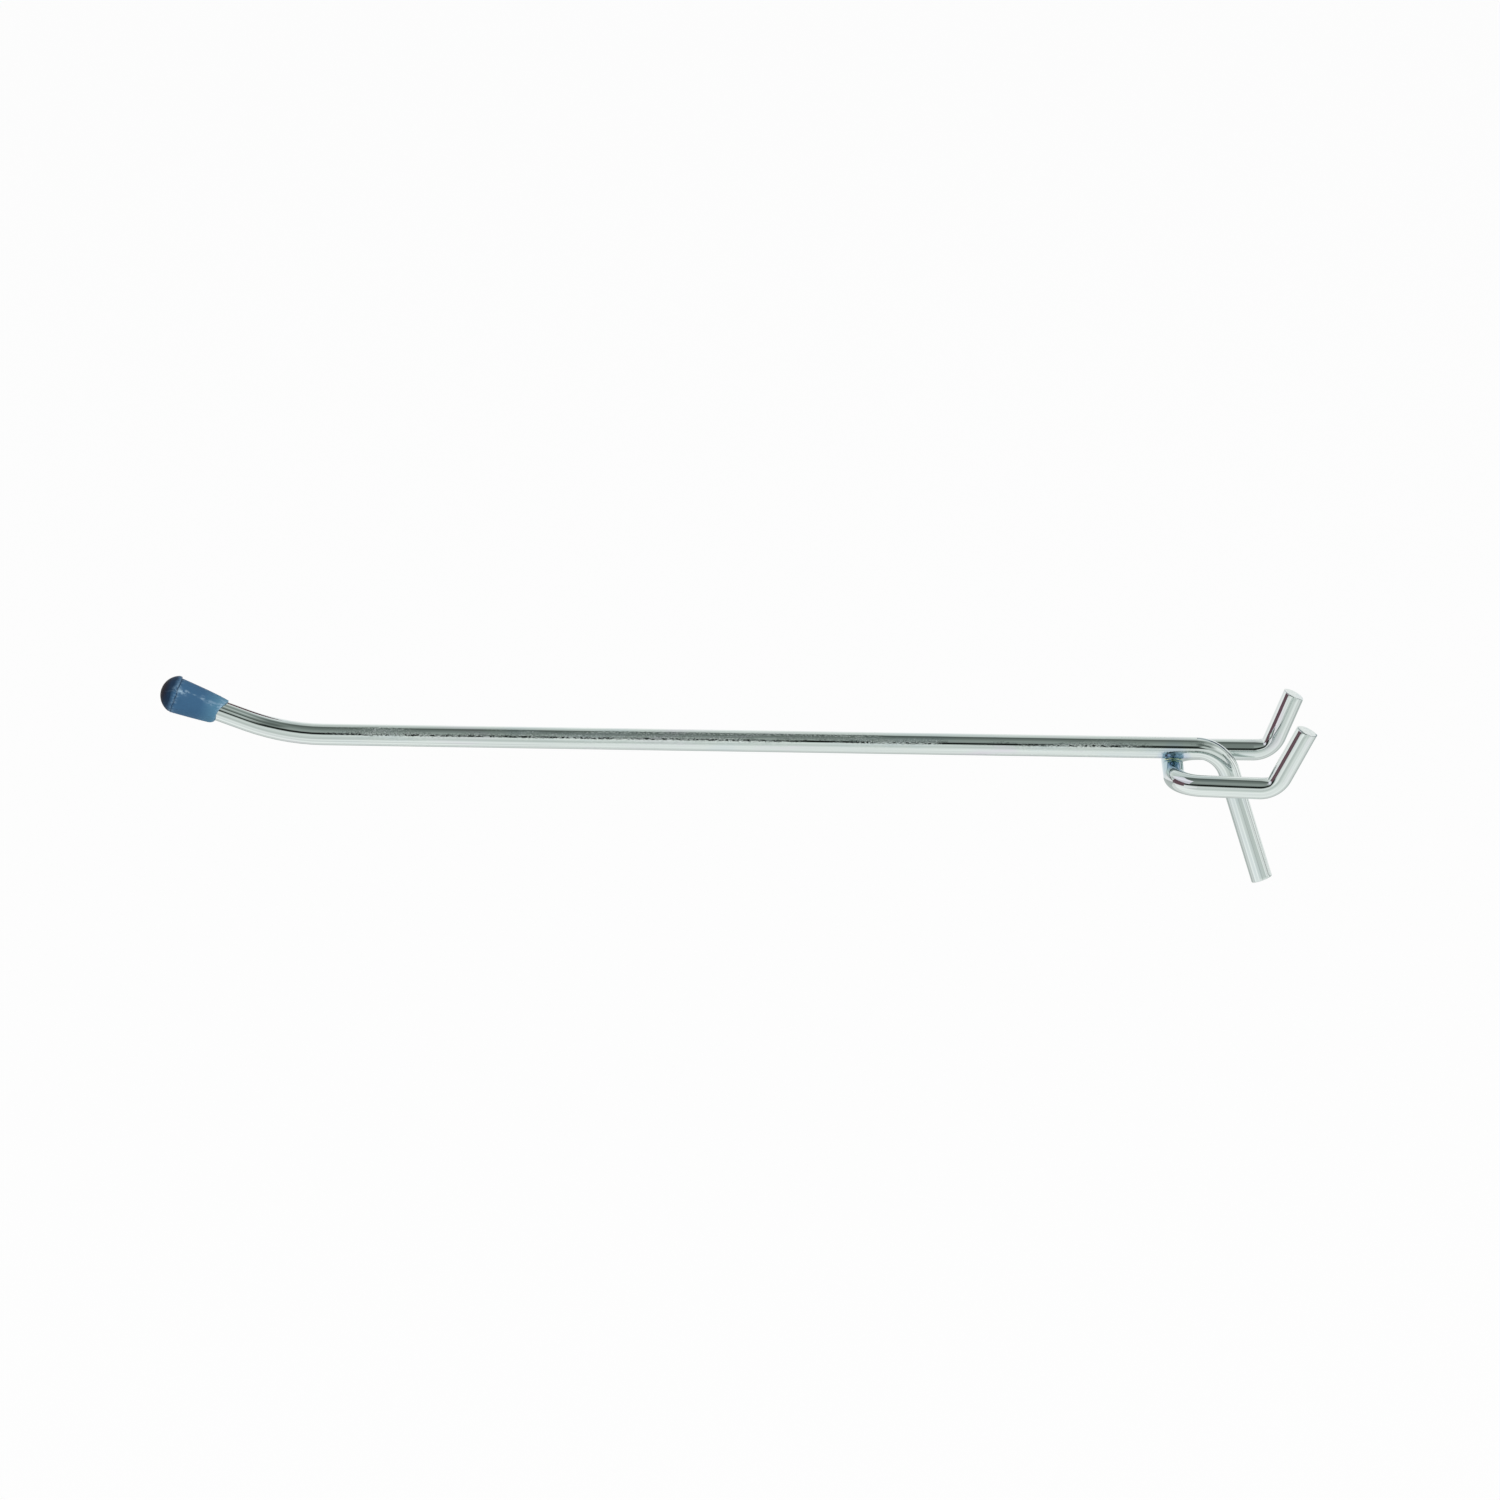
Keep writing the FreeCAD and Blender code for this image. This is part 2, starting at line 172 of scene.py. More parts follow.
# A faint worn arc runs across the near side: its middle, its turn there, its bow and its size
ARC_WEAR = 0.7
ARC_PLACE = 1.2
ARC_BOW_PLACE = 2.2
ARC_TURN = 47.0
ARC_BOW = 0.9
ARC_LENGTH = 2.6
ARC_WIDTH = 2.2

# Noise has this detail and roughness unless a pattern gives its own
NOISE_DETAIL = 4.0
NOISE_ROUGHNESS = 0.55

# Patterns on the zinc: how often they repeat in a millimetre along the wire and across it
DRAWING_LINES = {"along": 0.02, "across": 3.4, "detail": 5, "roughness": 0.65}
# Painted highlight and painted dark reflection streaks along the wire
PAINTED_STREAKS = {"along": 0.008, "across": 2.2, "detail": 2}
FILM = {"along": 0.06, "across": 0.25, "detail": 3}
FROST_PATCHES = {"along": 0.04, "across": 0.35, "detail": 2}
CRYSTALS = {"along": 2.0, "across": 3.4, "detail": 2, "roughness": 0.6}
# Where a pattern starts to show, where it shows in full, and how strongly it shows at both
LINES_SHOW = (0.35, 0.65, 0.0, 1.0)
# The painted dark reflection streaks and the painted highlight streaks
DARK_STREAKS_SHOW = (0.6, 0.64, 0.0, 0.4)
HIGHLIGHT_STREAKS_SHOW = (0.42, 0.37, 0.0, 0.5)
BLUE_FILM_SHOWS = (0.54, 0.75, 0.0, 0.6)
LILAC_FILM_SHOWS = (0.44, 0.28, 0.0, 0.6)
PATCHES_SHOW = (0.45, 0.56, 0.0, 1.0)
CRYSTALS_SHOW = (0.46, 0.68, 0.0, 1.0)
LINE_STRENGTH = 0.25
LINE_DEPTH = 0.012
# Frost lies only on the straight front of the prong, mostly along one side:
# lengths along the wire, and the cosine of the turn from that side
FROST_START = (32.0, 44.0)
FROST_END = (232.0, 220.0)
FROST_TURN = 219.0
FROST_SIDE = (0.925, 0.98, 0.22, 1.0)
ZINC_DULL = (0.63, 0.69, 0.67, 1)
ZINC_BRIGHT = (0.74, 0.81, 0.78, 1)
# Colours of the painted dark reflection streaks and the painted highlight streaks
ZINC_PAINTED_DARK_STREAK = (0.36, 0.4, 0.39, 1)
ZINC_PAINTED_HIGHLIGHT = (0.88, 0.94, 0.91, 1)
FILM_BLUE = (0.6, 0.69, 0.72, 1)
FILM_LILAC = (0.72, 0.69, 0.76, 1)
CROSSBAR_REFLECTION_BLUE = (0.42, 0.52, 0.72, 1)
WELD_TEAL = (0.3, 0.47, 0.53, 1)
ZINC_ROUGHNESS = 0.045
FROST_ROUGHNESS = 0.24
FROST_HEIGHT = 0.04
# The tint near the weld on each wire, which on the prong is a painted reflection of the crossbar:
# its strength, and the distances from the weld between which it fades. Only the prong is frosted.
# On the prong the tint is a painted reflection of the crossbar
PRONG_FINISH = {"tint": CROSSBAR_REFLECTION_BLUE, "strength": 0.7, "fade": (4.8, 2.7), "frosted": True}
STAPLE_FINISH = {"tint": WELD_TEAL, "strength": 0.85, "fade": (8.6, 5.2), "frosted": False}

# Weld metal: its stains and bumps repeat this often in a metre
WELD_STAINS = 420
WELD_BUMPS = 700
WELD_DARK = (0.12, 0.19, 0.22, 1)
# The colour of the painted highlight line round the weld
WELD_PAINTED_HIGHLIGHT = (0.7, 0.76, 0.42, 1)
WELD_STAINS_SHOW = (0.4, 0.65, 0.0, 1.0)
WELD_ROUGHNESS = (0.3, 0.7, 0.15, 0.3)
WELD_BUMP_STRENGTH = 0.25
WELD_BUMP_DEPTH = 0.05
# A painted highlight, a straw-coloured line, runs round the middle of the weld: shares of its height
HIGHLIGHT_LINE_LOWER = (0.36, 0.46)
HIGHLIGHT_LINE_UPPER = (0.72, 0.62)

# Blue plastic
# Black and navy at the crown: partly thick plastic, partly painted shade where the dome faces away from
# the light
CAP_SHADED_BLACK = (0.014, 0.012, 0.02, 1)
CAP_SHADED_NAVY = (0.012, 0.034, 0.072, 1)
CAP_BLUE = (0.05, 0.135, 0.25, 1)
CAP_TEAL = (0.105, 0.26, 0.38, 1)
CAP_SCUFF = (0.34, 0.5, 0.64, 1)
# The colour of the painted shade in the seam's groove
CAP_GROOVE_SHADE = (0.012, 0.03, 0.07, 1)
CLOUDS = {"along": 0.45, "across": 0.45, "detail": 3}
SPECKS = {"along": 2.6, "across": 2.6, "detail": 6, "roughness": 0.7}
DUST = {"along": 7.0, "across": 7.0, "detail": 4}
SCRATCHES = {"along": 0.8, "across": 2.0, "detail": 6, "roughness": 0.7}
SCRATCHES_SHOW = (0.44, 0.56, 0.0, 1.0)
CLOUD_DRIFT = (0.0, 1.0, -0.8, 0.8)
# Where along the cap its colours take over from one another
NAVY_FROM = (SEAM - 3.0, SEAM - 1.7)
BLUE_FROM = (SEAM - 1.2, SEAM - 0.1)
TEAL_FROM = (MOUTH_REACH - 4.5, MOUTH_REACH + 0.5)
CAP_ROUGHNESS = (0.3, 0.75, 0.38, 0.6)
CAP_SPECULAR = 0.06
DUST_STRENGTH = 0.25
DUST_DEPTH = 0.03
CLOUD_STRENGTH = 0.4
CLOUD_DEPTH = 0.15

# Camera, from the photograph: its target, direction and roll, and the photograph's width in
# pixels and its pixels to a millimetre at the target
CAMERA_TARGET = Vector((-112.41, 0, 2.586))
CAMERA_AZIMUTH = 0.569
CAMERA_ELEVATION = 19.617
CAMERA_ROLL = 0.704
CAMERA_DISTANCE = 1500
CAMERA_SENSOR = 36
CAMERA_RANGE = (0.05, 50)
PHOTO_WIDTH = 1500
PHOTO_SCALE = 4.501

# Stage
FLOOR_DROP = 110
SWEEP_WIDTH = 5200
SWEEP_FRONT = -2600
SWEEP_BACK = 1700
SWEEP_CURVE = 600
SWEEP_CURVE_STEPS = 16
SWEEP_TOP = 900
SWEEP_COLOUR = (0.9, 0.9, 0.9, 1)
SWEEP_GLOW = 0.93
WORLD_LIGHT = 0.7
# Lamps: place, size and watts; both aim at the prong's middle
LAMP_AIM = (-112, 0, 0)
LEFT_LAMP = ((-900, -900, 900), 700, 4)
RIGHT_LAMP = ((700, -700, 1000), 700, 3)

# Cards that only reflections show. The largest is an arched ceiling along the hook, far off.
CARD_STEPS = 24
CEILING_RADIUS = 5000
CEILING_LENGTH = 24000
# Its brightness at angles from straight up, positive towards the camera. The level wires see the
# first list. What leans sees the others, which take over one by one towards the right.
OVER_WIRES = (
    (-60, 0.92), (-44, 0.75), (-24, 0.7), (-16, 0.2), (-5, 0.12), (10, 0.23), (25, 0.3), (46, 0.43),
    (52, 0.34), (56, 0.04), (60, 0.01), (71, 0.01), (74, 0.35), (78, 0.8), (84, 0.88),
)
OVER_BEND = (
    (-60, 1.0), (-40, 0.95), (-26, 0.85), (-18, 0.35), (-6, 0.17), (3, 0.17), (10, 0.26), (16, 0.26),
    (23, 0.17), (40, 0.15), (46, 0.26), (52, 0.26), (56, 0.12), (60, 0.03), (75, 0.02), (78, 0.4),
    (84, 0.55),
)
OVER_TIP = (
    (-60, 1.0), (-42, 0.9), (-30, 0.8), (-22, 0.45), (-5, 0.33), (3, 0.36), (10, 0.62), (18, 0.62),
    (24, 0.34), (33, 0.3), (36, 0.12), (43, 0.12), (46, 0.6), (64, 0.6), (67, 0.05), (76, 0.05),
    (79, 0.5), (84, 0.6),
)
FAR_RIGHT = (
    (-60, 1.0), (-40, 0.95), (-24, 0.55), (-12, 0.55), (0, 0.9), (44, 0.9), (56, 0.5), (64, 0.5),
    (76, 0.9), (84, 0.9),
)
CEILING_LEVELS = (OVER_WIRES, OVER_BEND, OVER_TIP, FAR_RIGHT)
# How far right, as a share of the height, each next list starts and takes over
CEILING_TURNS = ((0.07, 0.15), (0.22, 0.38), (0.55, 0.9))
GREY_TINT = (0.84, 1.0, 0.92)
# A dark strip behind the hook, seen only in what leans: reddish for the tip, bluish beyond
STRIP_RADIUS = 4900
STRIP_ANGLES = (-71, -44)
RED_STRIP_ENDS = (400, 1500)
RED_STRIP_COLOUR = (0.12, 0.045, 0.06, 1)
BLUE_STRIP_ENDS = (1500, 8000)
BLUE_STRIP_COLOUR = (0.07, 0.1, 0.14, 1)
# A paler strip hangs close behind the hook, where only the prong's rear bend shows it
NEAR_STRIP_RADIUS = 600
NEAR_STRIP_ENDS = (40, 190)
NEAR_STRIP_COLOUR = (0.42, 0.48, 0.52, 1)
# A pale card lies on the floor before the hook and stands up at its front: (y, z)
FRONT_PROFILE = ((-200, -130), (-1060, -130), (-1060, 111))
FRONT_LEVELS = ((84, 0.88), (92, 0.85), (103, 0.68), (113, 0.8), (123, 0.95))
FRONT_ENDS = (-400, 850)
# A second pale card lies under the hook, and a greyer one behind that
UNDER_PROFILE = ((-5, -130), (70, -130))
UNDER_COLOUR = (0.82, 0.82, 0.82, 1)
BEHIND_PROFILE = ((70, -130), (330, -130))
BEHIND_COLOUR = (0.55, 0.58, 0.57, 1)
FLOOR_CARD_ENDS = (-2700, 2500)
# Upright cards round the hook: azimuths from X, positive away from the camera, and elevations
UPRIGHT_RADIUS = 1300
LEFT_CARD = (-189, -149, -10, 25)
LEFT_CARD_COLOUR = (0.17, 0.1, 0.12, 1)
LILAC_CARD = (-205, -135, 25, 60)
LILAC_CARD_COLOUR = (0.93, 0.88, 0.98, 1)
RIGHT_CARD = (-6, 1, -9, 30)
REAR_CARD = (26, 33, -9, 30)
EDGE_CARD_COLOUR = (0.38, 0.38, 0.38, 1)


# Small helpers for shapes

def turned(vector, axis, angle):
    """A vector turned about an axis by an angle in degrees."""
    return Matrix.Rotation(math.radians(angle), 3, axis) @ vector


def off_turn(turn, centre):
    """How many degrees a turn lies from another, the short way round."""
    return abs((turn - centre + 180) % 360 - 180)


def bell(distance, spread):
    """1 at no distance, falling smoothly to almost nothing at twice the spread."""
    return math.exp(-(distance / spread) ** 2)


class Station:
    """One place on a wire's centre line, with the frame of the wire's section there."""

    def __init__(self, place, heading, side, up, along, inward=None, fold=0.0):
        self.place = place
        self.heading = heading
        self.side = side
        self.up = up
        self.along = along
        # Where the wire is folded: the direction of the bend's centre, and the notch's depth
        self.inward = inward
        self.fold = fold


def walk(place, heading, side, steps):
    """Walks a centre line of runs and bends. Returns its stations.

    A step is ("run", length), ("bend", radius, angle, towards) or ("fold", radius, angle, towards),
    where towards is the direction that the wire turns to.
    """
    up = heading.cross(side)
    stations = [Station(place.copy(), heading.copy(), side.copy(), up.copy(), 0.0)]
    for kind, *sizes in steps:
        last = stations[-1]
        if kind == "run":
            stations += walk_run(last, *sizes)
        else:
            stations += walk_bend(last, kind == "fold", *sizes)
    return stations


def walk_run(last, length):
    """The stations of a straight run."""
    count = max(2, math.ceil(length / RUN_STEP))
    found = []
    for index in range(1, count + 1):
        distance = length * index / count
        place = last.place + last.heading * distance
        found.append(Station(place, last.heading, last.side, last.up, last.along + distance))
    return found


def walk_bend(last, folded, radius, angle, towards):
    """The stations of a bend, which pinches the wire on its inside where it is folded."""
    towards = (towards - last.heading * towards.dot(last.heading)).normalized()
    axis = last.heading.cross(towards)
    centre = last.place + towards * radius
    count = math.ceil(angle / (FOLD_STEP if folded else BEND_STEP))
    found = []
    for index in range(1, count + 1):
        turn = angle * index / count
        spin = Matrix.Rotation(math.radians(turn), 3, axis)
        station = Station(
            centre - spin @ towards * radius,
            spin @ last.heading,
            spin @ last.side,
            spin @ last.up,
            last.along + math.radians(turn) * radius,
        )
        if folded:
            station.inward = spin @ towards
            nearest_end = math.radians(min(turn, angle - turn))
            station.fold = (radius - WIRE_RADIUS) * (1 / math.cos(nearest_end) - 1)
        found.append(station)
    return found


def wander(along, direction):
    """How far drawn wire stands off its true radius, at a length and in a direction."""
    spot = Vector((along / WANDER_LENGTH, direction[0], direction[1]))
    return WIRE_WANDER * noise.noise(spot)


def ring_points(station):
    """The points of the wire's section at a station, with their places in straightened wire."""
    points = []
    for index in range(RING_POINTS):
        angle = 2 * math.pi * index / RING_POINTS
        cosine, sine = math.cos(angle), math.sin(angle)
        outward = station.side * cosine + station.up * sine
        radius = WIRE_RADIUS + wander(station.along, (cosine, sine))
        place = station.place + outward * radius
        if station.inward is not None:
            facing = max(0.0, outward.dot(station.inward))
            place = place - station.inward * station.fold * facing ** 2
        straight = Vector((station.along, WIRE_RADIUS * cosine, WIRE_RADIUS * sine))
        points.append((place, straight))
    return points


def end_profile():
    """The section of a cut end, from the wire's side over the rounded edge to the middle.

    Returns shares of the wire's radius, and how far each lies below the cut.
    """
    profile = []
    for step in range(EDGE_RINGS + 1):
        angle = math.pi / 2 * step / EDGE_RINGS
        inset = EDGE_ROUND * (1 - math.cos(angle))
        profile.append((1 - inset / WIRE_RADIUS, EDGE_ROUND * (1 - math.sin(angle))))
    edge_share = profile[-1][0]
    for ring in range(1, FACE_RINGS):
        profile.append((edge_share * math.cos(math.pi / 2 * ring / FACE_RINGS), 0.0))
    return profile


def end_rings(station, outward, burr_turn, tilt):
    """The rings of a sheared end: rolled over on one side, with a burr on the other."""
    slope = math.tan(math.radians(tilt))
    return [
        [
            end_point(station, outward, burr_turn, slope, share, depth, index)
            for index in range(RING_POINTS)
        ]
        for share, depth in end_profile()
    ]


def end_point(station, outward, burr_turn, slope, share, depth, index):
    """A point of a sheared end, at a share of the wire's radius, with its place in the wire."""
    angle = 2 * math.pi * index / RING_POINTS
    cosine, sine = math.cos(angle), math.sin(angle)
    across = station.side * cosine + station.up * sine
    radius = (WIRE_RADIUS + wander(station.along, (cosine, sine))) * share
    lean = math.cos(angle - math.radians(burr_turn))
    height = radius * lean * slope - depth
    height -= SHEAR_ROLL_OVER * share ** SHEAR_ROLL_SPREAD * max(0.0, -lean)
    off_burr = off_turn(math.degrees(angle), burr_turn)
    height += BURR_HEIGHT * share ** BURR_WALL * bell(off_burr, BURR_SPREAD)
    height += SHEAR_LUMPS * noise.noise(Vector((cosine, sine, 0)) * share * SHEAR_LUMP_RATE)
    place = station.place + across * radius + outward * height
    return place, Vector((station.along, radius * cosine, radius * sine))


def build_wire(name, stations, first_end, last_end):
    """Makes a wire's mesh from its stations, and the sheared ends that close it."""
    head = end_rings(stations[0], -stations[0].heading, *first_end)
    tail = end_rings(stations[-1], stations[-1].heading, *last_end)
    rings = head[::-1] + [ring_points(station) for station in stations[1:-1]] + tail
    return make_tube(name, rings, "wire_space")


def make_tube(name, rings, attribute):
    """Joins rings of (place, coordinate) into a closed tube with smooth shading."""
    count = len(rings[0])
    verts = [place * MM for ring in rings for place, _ in ring]
    spots = [spot for ring in rings for _, spot in ring]
    faces = []
    for row in range(len(rings) - 1):
        for index in range(count):
            following = (index + 1) % count
            faces.append((
                row * count + index,
                row * count + following,
                (row + 1) * count + following,
                (row + 1) * count + index,
            ))
    faces.append(tuple(range(count - 1, -1, -1)))
    last = (len(rings) - 1) * count
    faces.append(tuple(range(last, last + count)))
    mesh = bpy.data.meshes.new(name)
    mesh.from_pydata(verts, [], faces)
    data = mesh.attributes.new(attribute, "FLOAT_VECTOR", "POINT").data
    data.foreach_set("vector", [number for spot in spots for number in spot])
    mesh.shade_smooth()
    mesh.set_sharp_from_angle(angle=math.radians(SHARP_EDGE))
    mesh.update()
    piece = bpy.data.objects.new(name, mesh)
    bpy.context.scene.collection.objects.link(piece)
    return piece


# The wires

def make_prong():
    """The long wire, from the foot of the brace to its end inside the cap."""
    crossing = Vector((-LEG_REACH, 0, PRONG_HEIGHT))
    rear = turned(X, Y, REAR_ANGLE)
    bend_start = crossing + X * REAR_RUN
    centre = bend_start - Z * REAR_RADIUS
    bend_end = centre + turned(Z, Y, REAR_ANGLE) * REAR_RADIUS
    foot = bend_end + rear * BRACE_RUN
    stations = walk(foot, -rear, Y, [
        ("run", BRACE_RUN),
        ("bend", REAR_RADIUS, REAR_ANGLE, -X),
        ("run", REAR_RUN + FRONT_RUN),
        ("bend", TIP_RADIUS, TIP_ANGLE, Z),
        ("run", TIP_RUN),
    ])
    return build_wire("hook_prong", stations, BRACE_END, TIP_END)


def make_staple():
    """The U-shaped wire, from the near peg's end round the crossbar to the far peg's end."""
    near_splay = SPLAY["near"]
    leg = turned(X, Z, -near_splay)
    start = Vector((0, -PEG_SPACING / 2, 0))
    angle = PEG_ANGLE["near"]
    centre = start + Z * PEG_BEND_RADIUS
    sideways = leg.cross(Z)
    fold_end = centre + turned(-Z, sideways, angle) * PEG_BEND_RADIUS
    peg = turned(leg, sideways, angle)
    end = fold_end + peg * peg_run("near")
    bar_run = PEG_SPACING - sum(corner_width(name) for name in SPLAY)
    stations = walk(end, -peg, sideways, [
        ("run", peg_run("near")),
        ("fold", PEG_BEND_RADIUS, angle, -leg),
        ("run", leg_run("near")),
        ("bend", CORNER_RADIUS, 90 - near_splay, Y),
        ("run", bar_run),
        ("bend", CORNER_RADIUS, 90 - SPLAY["far"], X),
        ("run", leg_run("far")),
        ("fold", PEG_BEND_RADIUS, PEG_ANGLE["far"], Z),
        ("run", peg_run("far")),
    ])
    return build_wire("hook_staple", stations, NEAR_PEG_END, FAR_PEG_END)


def corner_depth(name):
    """How far a corner reaches from the crossbar towards the board."""
    return CORNER_RADIUS * (1 - math.sin(math.radians(SPLAY[name])))


def leg_run(name):
    """The length of a leg's straight part, from its corner to its peg's fold."""
    return (LEG_REACH - corner_depth(name)) / math.cos(math.radians(SPLAY[name]))


def corner_width(name):
    """How much of the pegs' spacing a leg's slant and its corner take up."""
    splay = math.radians(SPLAY[name])
    return (LEG_REACH - corner_depth(name)) * math.tan(splay) + CORNER_RADIUS * math.cos(splay)


def peg_run(name):
    """The length of a peg's straight part, from its fold to its end."""
    angle = math.radians(PEG_ANGLE[name])
    return (PEG_RISE[name] - PEG_BEND_RADIUS * (1 - math.cos(angle))) / math.sin(angle)


# The weld

def make_weld():
    """The metal squeezed out where the prong lies on the crossbar, hollow all round."""
    turns = [360 * index / WELD_POINTS for index in range(WELD_POINTS)]
    shares = [row / WELD_RINGS for row in range(WELD_RINGS + 1)]
    rings = [[weld_point(turn, share) for turn in turns] for share in shares]
    return make_tube("hook_weld", rings, "weld_space")


def weld_point(turn, share):
    """A point of the weld's side, at a share of the way up from the crossbar to the prong."""
    direction = turned(X, Z, turn)
    wobble = WELD_WOBBLE * noise.noise(direction * WELD_LUMPS + Z * share * WELD_LAYERS)
    waist = WELD_WAIST * (1 - (2 * share - 1) ** 2)
    spot = direction * (WELD_REACH + wobble - waist)
    spot.x *= WELD_STRETCH
    low = wire_height(spot.x) - WELD_SINK
    high = PRONG_HEIGHT - wire_height(spot.y) + WELD_SINK
    height = low + (high - low) * share
    return spot + Z * height - X * LEG_REACH, Vector((spot.x, spot.y, share))


def wire_height(offset):
    """How high a wire's surface stands over its axis, at an offset across it."""
    return math.sqrt(max(0.0, WIRE_RADIUS ** 2 - offset ** 2))


# The cap

def cap_frame():
    """The wire's end, the direction back along the tip, and the direction up across it."""
    back = turned(X, Y, TIP_ANGLE)
    upward = turned(Z, Y, TIP_ANGLE)
    corner = Vector((-LEG_REACH - FRONT_RUN, 0, PRONG_HEIGHT + TIP_RADIUS))
    end = corner - upward * TIP_RADIUS - back * TIP_RUN
    return end, back, upward


def wave(turn, fineness, layer):
    """A smooth random value from about -0.5 to 0.5 that closes on itself round the tip."""
    angle = math.radians(turn)
    return noise.noise(Vector((math.cos(angle), math.sin(angle), 0)) * fineness + Z * layer)


def mouth_lip(turn):
    """The rounding of the mouth's edge, which is larger at the heel under the wire."""
    return MOUTH_LIP + HEEL_ROUNDING * bell(off_turn(turn, HEEL_ROUNDING_TURN), HEEL_ROUNDING_SPREAD)


def mouth_edge(turn):
    """How far the skirt reaches at a turn about the tip: a slanted, slightly wavy edge."""
    slant = MOUTH_SLANT * math.cos(math.radians(turn - MOUTH_TURN))
    heel = HEEL_REACH * bell(off_turn(turn, HEEL_REACH_TURN), HEEL_REACH_SPREAD)
    return MOUTH_REACH + slant + heel + MOUTH_WAVE * wave(turn, MOUTH_WAVE_RATE, MOUTH_WAVE_LAYER)


def seam_place(turn):
    """Where the groove between the dome and the skirt runs."""
    return SEAM + SEAM_WAVE * wave(turn, SEAM_WAVE_RATE, SEAM_WAVE_LAYER)


def skirt_radius(place):
    """The skirt's radius at a place: it tapers to the mouth, faster towards its end."""
    share = (DOME_BASE + SKIRT_FULL_LENGTH - place) / SKIRT_FULL_LENGTH
    swell = max(0.0, share) ** SKIRT_SWELL
    return SKIRT_MOUTH_RADIUS + (SKIRT_BASE_RADIUS - SKIRT_MOUTH_RADIUS) * swell


def pressed_flat(radius, turn):
    """The radius at a turn, cut back where the near side was pressed flat, with a ridge round it."""
    facing = max(0.0, math.cos(math.radians(turn - FLAT_TURN)))
    over = radius * facing - FLAT_DISTANCE
    if over > 0:
        radius = FLAT_DISTANCE / facing
    return radius + FLAT_RIDGE * bell(over, FLAT_RIDGE_WIDTH)


def dome_ring(ring):
    """The place, radius and lift of one ring of the dome, counted from the crown to its widest."""
    ball = (DOME_RADIUS ** 2 + DOME_HEIGHT ** 2) / (2 * DOME_HEIGHT)
    angle = math.asin(DOME_RADIUS / ball) * ring / DOME_RINGS
    place = DOME_BASE - DOME_HEIGHT + ball * (1 - math.cos(angle))
    return place, ball * math.sin(angle), DOME_LIFT


def band_point(turn, share, inset):
    """A point of the straight band between the dome's widest ring and the seam."""
    return DOME_BASE + (seam_place(turn) - DOME_BASE) * share, DOME_RADIUS - inset, DOME_LIFT


def skirt_point(turn, share):
    """A point of the skirt, at a share of the way from the seam to the mouth's lip."""
    start = seam_place(turn) + SEAM_OPENING
    place = start + (mouth_edge(turn) - mouth_lip(turn) - start) * share
    return place, pressed_flat(skirt_radius(place), turn), -SKIRT_SAG


def lip_point(turn, angle):
    """A point of the mouth's rounded lip, at an angle from its outside to its edge."""
    lip = mouth_lip(turn)
    outer = skirt_radius(mouth_edge(turn) - lip)
    radius = outer - min(lip, outer - WIRE_RADIUS) * (1 - math.cos(angle))
    return mouth_edge(turn) - lip * (1 - math.sin(angle)), radius, -SKIRT_SAG * math.cos(angle)


def cap_outline(turns):
    """The cap's rings from the crown over the seam and the mouth into the bore."""
    rings = [[dome_ring(ring)] * CAP_POINTS for ring in range(1, DOME_RINGS + 1)]
    rings += [[band_point(turn, share, inset) for turn in turns] for share, inset in BAND_RINGS]
    rings.append([(seam_place(turn), SKIRT_BASE_RADIUS - SEAM_GROOVE, 0.0) for turn in turns])
    for ring in range(SKIRT_RINGS + 1):
        rings.append([skirt_point(turn, ring / SKIRT_RINGS) for turn in turns])
    for step in range(1, MOUTH_RINGS + 1):
        rings.append([lip_point(turn, math.pi / 2 * step / MOUTH_RINGS) for turn in turns])
    rings.append([(mouth_edge(turn), WIRE_RADIUS, 0.0) for turn in turns])
    rings.append([(mouth_edge(turn) - BORE_DEPTH, WIRE_RADIUS - BORE_BITE, 0.0) for turn in turns])
    return rings


def make_cap():
    """The moulded cap: a dome with an overhanging edge, and a skirt with a slanted mouth."""
    end, back, upward = cap_frame()
    turns = [360 * index / CAP_POINTS for index in range(CAP_POINTS)]
    rings = []
    for outline in cap_outline(turns):
        ring = []
        for turn, (place, radius, lift) in zip(turns, outline):
            cosine, sine = math.cos(math.radians(turn)), math.sin(math.radians(turn))
            spot = end + back * place + (upward * cosine - Y * sine) * radius + upward * lift
            ring.append((spot, Vector((place, radius * cosine, -radius * sine))))
        rings.append(ring)
    piece = make_tube("hook_tip_cap", rings, "cap_space")
    mark_wear_and_shade(piece)
    return piece


def wear_at(along, turn):
    """How worn the cap is: by its seam and its mouth, along the arc, and in the scuffs."""
    strength = SEAM_WEAR * bell(along - seam_place(turn), SEAM_WEAR_WIDTH)
    strength += MOUTH_WEAR * bell(along - mouth_edge(turn), MOUTH_WEAR_WIDTH)
    arc_turn = ARC_TURN + ARC_BOW * (along - ARC_BOW_PLACE) ** 2
    on_arc = bell(off_turn(turn, arc_turn), ARC_WIDTH)
    strength += ARC_WEAR * on_arc * bell(along - ARC_PLACE, ARC_LENGTH)
    for place, centre, length, width, weight in SCUFFS:
        strength += weight * bell(along - place, length) * bell(off_turn(turn, centre), width)
    return min(1.0, strength)


def mark_wear_and_shade(piece):
    """Marks on the cap's mesh where it is worn, and the painted shade along its seam's groove."""
    wear = []
    painted_groove_shade = []
    for spot in piece.data.attributes["cap_space"].data:
        along, upward, farward = spot.vector
        turn = math.degrees(math.atan2(-farward, upward))
        wear.append(wear_at(along, turn))
        painted_groove_shade.append(GROOVE_SHADE * bell(along - seam_place(turn), GROOVE_WIDTH))
    for name, values in (("wear", wear), ("painted_groove_shade", painted_groove_shade)):
        marks = piece.data.attributes.new(name, "FLOAT", "POINT").data
        marks.foreach_set("value", values)


# Materials

